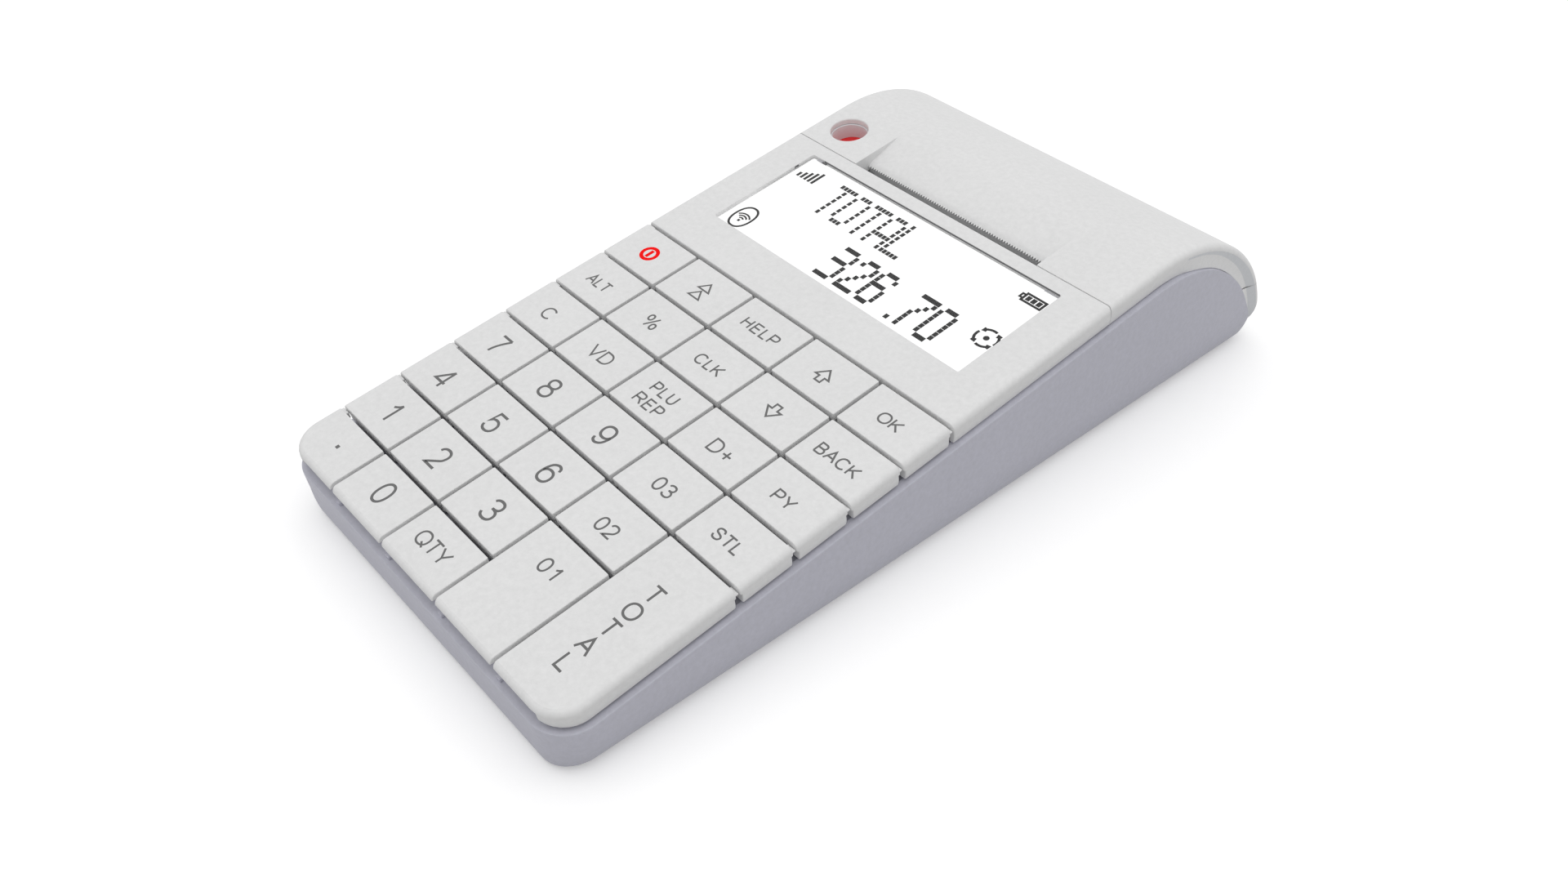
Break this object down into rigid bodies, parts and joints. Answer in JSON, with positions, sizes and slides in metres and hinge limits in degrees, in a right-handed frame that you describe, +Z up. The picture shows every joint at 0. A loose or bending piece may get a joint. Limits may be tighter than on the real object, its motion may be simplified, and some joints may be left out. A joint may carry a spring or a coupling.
{
  "type": "ticket register",
  "caption": "Small portable cash register with a sloping keypad, a display, and a humped lid over a thermal ticket printer and its paper roll.",
  "frame": {"origin": "middle of the base, on the plane of the feet", "axes": "+Z up, -Y toward the person at the keypad, +X to their right"},
  "size_m": [0.107, 0.219, 0.0427],
  "materials": {
    "cover": "fine moulded texture",
    "tray": "fine moulded texture",
    "deck": "fine moulded texture",
    "mat": "silicone",
    "board": "solder mask",
    "window": "clear",
    "display": "reflective display",
    "frame": "moulded",
    "seal": "wax-like",
    "steel": "turned",
    "platen": "ground",
    "gear": "moulded",
    "chassis": "moulded black composite",
    "head": "anodised",
    "paper": "thermal paper",
    "battery": "shrink film",
    "jack": "moulded",
    "feet": "moulded"
  },
  "bodies": {
    "case": {"lower_housing": "tray", "key_deck": "deck", "dome_mat": "mat", "main_board": "board", "display_bezel": "cover", "display_window": "window", "display_glass": "display", "inner_frame": "frame", "seal": "seal", "lid_pin": "steel", "feed_motor": "steel", "printer_chassis": "chassis", "battery_pack": "battery", "rear_cover": "cover", "power_jack": "jack", "data_socket": "steel", "case_screws": "steel", "rubber_feet": "feet"},
    "lid": {"paper_lid": "cover", "tear_bar": "cover"},
    "platen": {"platen_shaft": "steel", "platen_rubber": "platen", "platen_gear": "gear"},
    "idler": {"idler_gear": "gear"},
    "pinion": {"motor_pinion": "gear"},
    "roll": {"paper_roll": "paper"},
    "head": {"print_head": "head"},
    "battery_door": {"battery_door": "tray"},
    "key_power": {"key_power": "cover"},
    "key_feed": {"key_feed": "cover"},
    "key_help": {"key_help": "cover"},
    "key_up": {"key_up": "cover"},
    "key_ok": {"key_ok": "cover"},
    "key_alt": {"key_alt": "cover"},
    "key_percent": {"key_percent": "cover"},
    "key_clerk": {"key_clerk": "cover"},
    "key_down": {"key_down": "cover"},
    "key_back": {"key_back": "cover"},
    "key_clear": {"key_clear": "cover"},
    "key_void": {"key_void": "cover"},
    "key_plu": {"key_plu": "cover"},
    "key_dept_plus": {"key_dept_plus": "cover"},
    "key_payment": {"key_payment": "cover"},
    "key_seven": {"key_seven": "cover"},
    "key_eight": {"key_eight": "cover"},
    "key_nine": {"key_nine": "cover"},
    "key_dept_three": {"key_dept_three": "cover"},
    "key_subtotal": {"key_subtotal": "cover"},
    "key_four": {"key_four": "cover"},
    "key_five": {"key_five": "cover"},
    "key_six": {"key_six": "cover"},
    "key_dept_two": {"key_dept_two": "cover"},
    "key_total": {"key_total": "cover"},
    "key_one": {"key_one": "cover"},
    "key_two": {"key_two": "cover"},
    "key_three": {"key_three": "cover"},
    "key_dept_one": {"key_dept_one": "cover"},
    "key_point": {"key_point": "cover"},
    "key_zero": {"key_zero": "cover"},
    "key_quantity": {"key_quantity": "cover"}
  },
  "joints": [
    {"name": "lid_hinge", "type": "hinge", "parent": "case", "child": "lid", "pos_m": [0, 0.10373, 0.01784], "axis": [-1, 0, 0], "range_deg": [0, 70]},
    {"name": "platen_spin", "type": "hinge", "parent": "lid", "child": "platen", "pos_m": [0, 0.0515, 0.03143], "axis": [1, 0, 0], "continuous": true},
    {"name": "idler_spin", "type": "hinge", "parent": "case", "child": "idler", "pos_m": [0.0355, 0.0481, 0.01836], "axis": [1, 0, 0], "continuous": true},
    {"name": "pinion_spin", "type": "hinge", "parent": "case", "child": "pinion", "pos_m": [0.0355, 0.04068, 0.01094], "axis": [1, 0, 0], "continuous": true},
    {"name": "roll_spin", "type": "hinge", "parent": "case", "child": "roll", "pos_m": [0, 0.07455, 0.0209], "axis": [1, 0, 0], "continuous": true},
    {"name": "head_tilt", "type": "hinge", "parent": "case", "child": "head", "pos_m": [0, 0.0464, 0.02405], "axis": [1, 0, 0], "range_deg": [0, 2], "stiffness_Nm_per_rad": 3},
    {"name": "battery_door_pull", "type": "slide", "parent": "case", "child": "battery_door", "axis": [0, 0, -1], "range_m": [0, 0.012]},
    {"name": "key_power_press", "type": "slide", "parent": "case", "child": "key_power", "axis": [0, 0.1392, -0.9903], "range_m": [0, 0.0008], "stiffness_N_per_m": 600},
    {"name": "key_feed_press", "type": "slide", "parent": "case", "child": "key_feed", "axis": [0, 0.1392, -0.9903], "range_m": [0, 0.0008], "stiffness_N_per_m": 600},
    {"name": "key_help_press", "type": "slide", "parent": "case", "child": "key_help", "axis": [0, 0.1392, -0.9903], "range_m": [0, 0.0008], "stiffness_N_per_m": 600},
    {"name": "key_up_press", "type": "slide", "parent": "case", "child": "key_up", "axis": [0, 0.1392, -0.9903], "range_m": [0, 0.0008], "stiffness_N_per_m": 600},
    {"name": "key_ok_press", "type": "slide", "parent": "case", "child": "key_ok", "axis": [0, 0.1392, -0.9903], "range_m": [0, 0.0008], "stiffness_N_per_m": 600},
    {"name": "key_alt_press", "type": "slide", "parent": "case", "child": "key_alt", "axis": [0, 0.1392, -0.9903], "range_m": [0, 0.0008], "stiffness_N_per_m": 600},
    {"name": "key_percent_press", "type": "slide", "parent": "case", "child": "key_percent", "axis": [0, 0.1392, -0.9903], "range_m": [0, 0.0008], "stiffness_N_per_m": 600},
    {"name": "key_clerk_press", "type": "slide", "parent": "case", "child": "key_clerk", "axis": [0, 0.1392, -0.9903], "range_m": [0, 0.0008], "stiffness_N_per_m": 600},
    {"name": "key_down_press", "type": "slide", "parent": "case", "child": "key_down", "axis": [0, 0.1392, -0.9903], "range_m": [0, 0.0008], "stiffness_N_per_m": 600},
    {"name": "key_back_press", "type": "slide", "parent": "case", "child": "key_back", "axis": [0, 0.1392, -0.9903], "range_m": [0, 0.0008], "stiffness_N_per_m": 600},
    {"name": "key_clear_press", "type": "slide", "parent": "case", "child": "key_clear", "axis": [0, 0.1392, -0.9903], "range_m": [0, 0.0008], "stiffness_N_per_m": 600},
    {"name": "key_void_press", "type": "slide", "parent": "case", "child": "key_void", "axis": [0, 0.1392, -0.9903], "range_m": [0, 0.0008], "stiffness_N_per_m": 600},
    {"name": "key_plu_press", "type": "slide", "parent": "case", "child": "key_plu", "axis": [0, 0.1392, -0.9903], "range_m": [0, 0.0008], "stiffness_N_per_m": 600},
    {"name": "key_dept_plus_press", "type": "slide", "parent": "case", "child": "key_dept_plus", "axis": [0, 0.1392, -0.9903], "range_m": [0, 0.0008], "stiffness_N_per_m": 600},
    {"name": "key_payment_press", "type": "slide", "parent": "case", "child": "key_payment", "axis": [0, 0.1392, -0.9903], "range_m": [0, 0.0008], "stiffness_N_per_m": 600},
    {"name": "key_seven_press", "type": "slide", "parent": "case", "child": "key_seven", "axis": [0, 0.1392, -0.9903], "range_m": [0, 0.0008], "stiffness_N_per_m": 600},
    {"name": "key_eight_press", "type": "slide", "parent": "case", "child": "key_eight", "axis": [0, 0.1392, -0.9903], "range_m": [0, 0.0008], "stiffness_N_per_m": 600},
    {"name": "key_nine_press", "type": "slide", "parent": "case", "child": "key_nine", "axis": [0, 0.1392, -0.9903], "range_m": [0, 0.0008], "stiffness_N_per_m": 600},
    {"name": "key_dept_three_press", "type": "slide", "parent": "case", "child": "key_dept_three", "axis": [0, 0.1392, -0.9903], "range_m": [0, 0.0008], "stiffness_N_per_m": 600},
    {"name": "key_subtotal_press", "type": "slide", "parent": "case", "child": "key_subtotal", "axis": [0, 0.1392, -0.9903], "range_m": [0, 0.0008], "stiffness_N_per_m": 600},
    {"name": "key_four_press", "type": "slide", "parent": "case", "child": "key_four", "axis": [0, 0.1392, -0.9903], "range_m": [0, 0.0008], "stiffness_N_per_m": 600},
    {"name": "key_five_press", "type": "slide", "parent": "case", "child": "key_five", "axis": [0, 0.1392, -0.9903], "range_m": [0, 0.0008], "stiffness_N_per_m": 600},
    {"name": "key_six_press", "type": "slide", "parent": "case", "child": "key_six", "axis": [0, 0.1392, -0.9903], "range_m": [0, 0.0008], "stiffness_N_per_m": 600},
    {"name": "key_dept_two_press", "type": "slide", "parent": "case", "child": "key_dept_two", "axis": [0, 0.1392, -0.9903], "range_m": [0, 0.0008], "stiffness_N_per_m": 600},
    {"name": "key_total_press", "type": "slide", "parent": "case", "child": "key_total", "axis": [0, 0.1392, -0.9903], "range_m": [0, 0.0008], "stiffness_N_per_m": 600},
    {"name": "key_one_press", "type": "slide", "parent": "case", "child": "key_one", "axis": [0, 0.1392, -0.9903], "range_m": [0, 0.0008], "stiffness_N_per_m": 600},
    {"name": "key_two_press", "type": "slide", "parent": "case", "child": "key_two", "axis": [0, 0.1392, -0.9903], "range_m": [0, 0.0008], "stiffness_N_per_m": 600},
    {"name": "key_three_press", "type": "slide", "parent": "case", "child": "key_three", "axis": [0, 0.1392, -0.9903], "range_m": [0, 0.0008], "stiffness_N_per_m": 600},
    {"name": "key_dept_one_press", "type": "slide", "parent": "case", "child": "key_dept_one", "axis": [0, 0.1392, -0.9903], "range_m": [0, 0.0008], "stiffness_N_per_m": 600},
    {"name": "key_point_press", "type": "slide", "parent": "case", "child": "key_point", "axis": [0, 0.1392, -0.9903], "range_m": [0, 0.0008], "stiffness_N_per_m": 600},
    {"name": "key_zero_press", "type": "slide", "parent": "case", "child": "key_zero", "axis": [0, 0.1392, -0.9903], "range_m": [0, 0.0008], "stiffness_N_per_m": 600},
    {"name": "key_quantity_press", "type": "slide", "parent": "case", "child": "key_quantity", "axis": [0, 0.1392, -0.9903], "range_m": [0, 0.0008], "stiffness_N_per_m": 600}
  ],
  "couplings": [
    {"joint": "idler_spin", "follows": "platen_spin", "ratio": -0.8},
    {"joint": "pinion_spin", "follows": "platen_spin", "ratio": 2},
    {"joint": "roll_spin", "follows": "platen_spin", "ratio": 0.3125}
  ]
}
